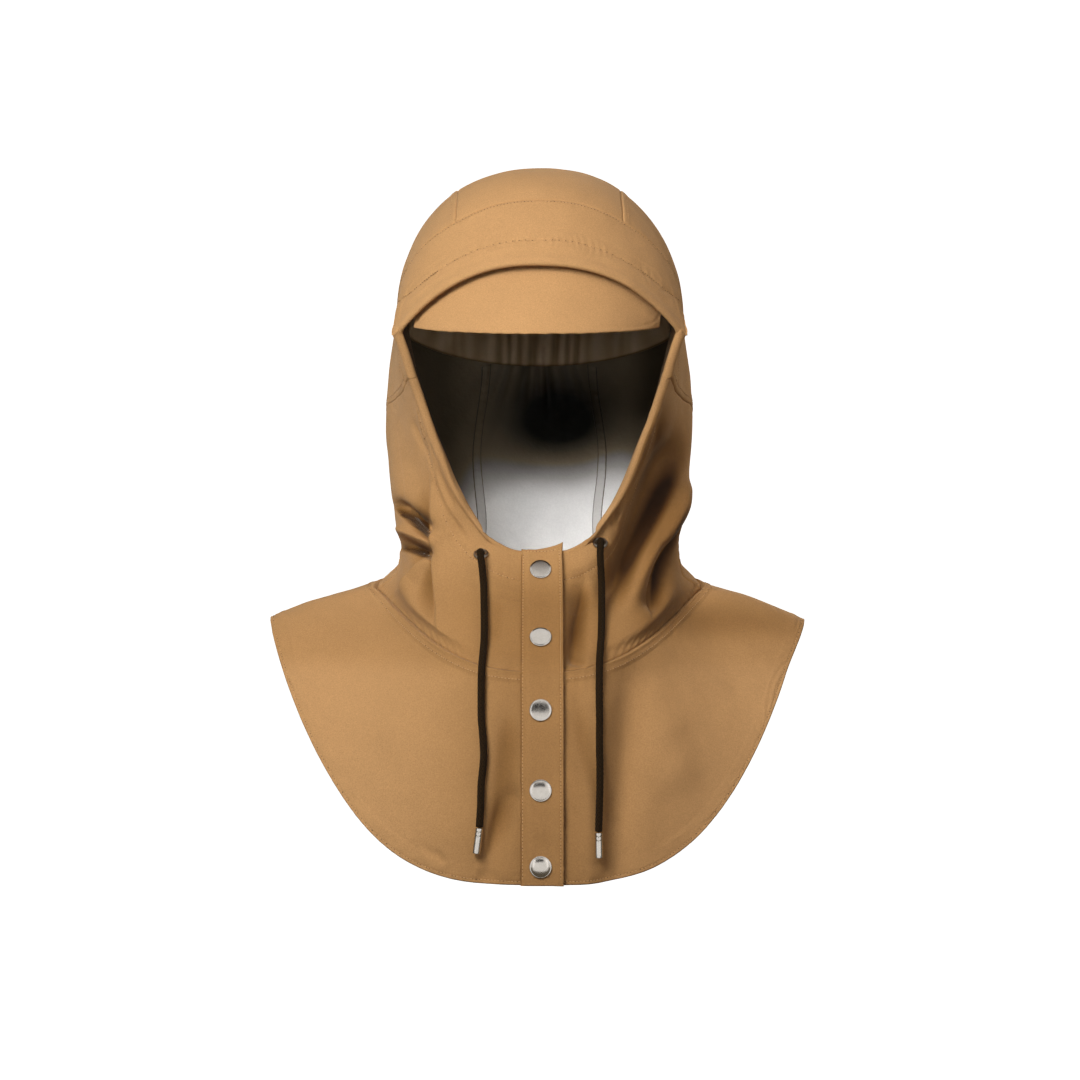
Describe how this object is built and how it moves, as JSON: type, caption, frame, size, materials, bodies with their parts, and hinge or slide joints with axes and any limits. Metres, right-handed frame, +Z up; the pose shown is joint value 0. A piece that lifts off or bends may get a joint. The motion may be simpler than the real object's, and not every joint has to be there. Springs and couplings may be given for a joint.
{
  "type": "detachable hood",
  "caption": "Detachable garment hood with a rounded crown, sewn-in peak, face drawcord, front placket closed by snaps and a flared shoulder cape.",
  "frame": {"origin": "the head seat: the inside of the crown at its highest point, where the wearer's head would touch it", "axes": "+Z up, -Y out of the face opening (the front), +X to the wearer's left; the hood hangs down from the origin"},
  "size_m": [0.448, 0.2942, 0.5853],
  "materials": {
    "cloth": "matt woven",
    "cloth_inner": "matt woven",
    "lining": "coated",
    "bright_metal": "polished",
    "dark_metal": "dark antique",
    "cord": "braided"
  },
  "bodies": {
    "root": {"brim_band": "cloth", "centre_panel": "cloth", "cape": "cloth", "placket": "cloth", "under_placket": "cloth_inner", "peak": "cloth", "crown_channel": "lining", "collar_left": "cloth", "collar_right": "cloth", "side_panel_left": "cloth", "side_panel_right": "cloth", "seam_tape_left": "lining", "seam_tape_right": "lining", "eyelet_left": "dark_metal", "eyelet_right": "dark_metal", "drawcord_left": "cord", "drawcord_right": "cord", "cord_tip_left": "bright_metal", "cord_tip_right": "bright_metal", "snap_cap_1": "bright_metal", "snap_cap_2": "bright_metal", "snap_cap_3": "bright_metal", "snap_cap_4": "bright_metal", "snap_cap_5": "bright_metal"}
  },
  "joints": []
}
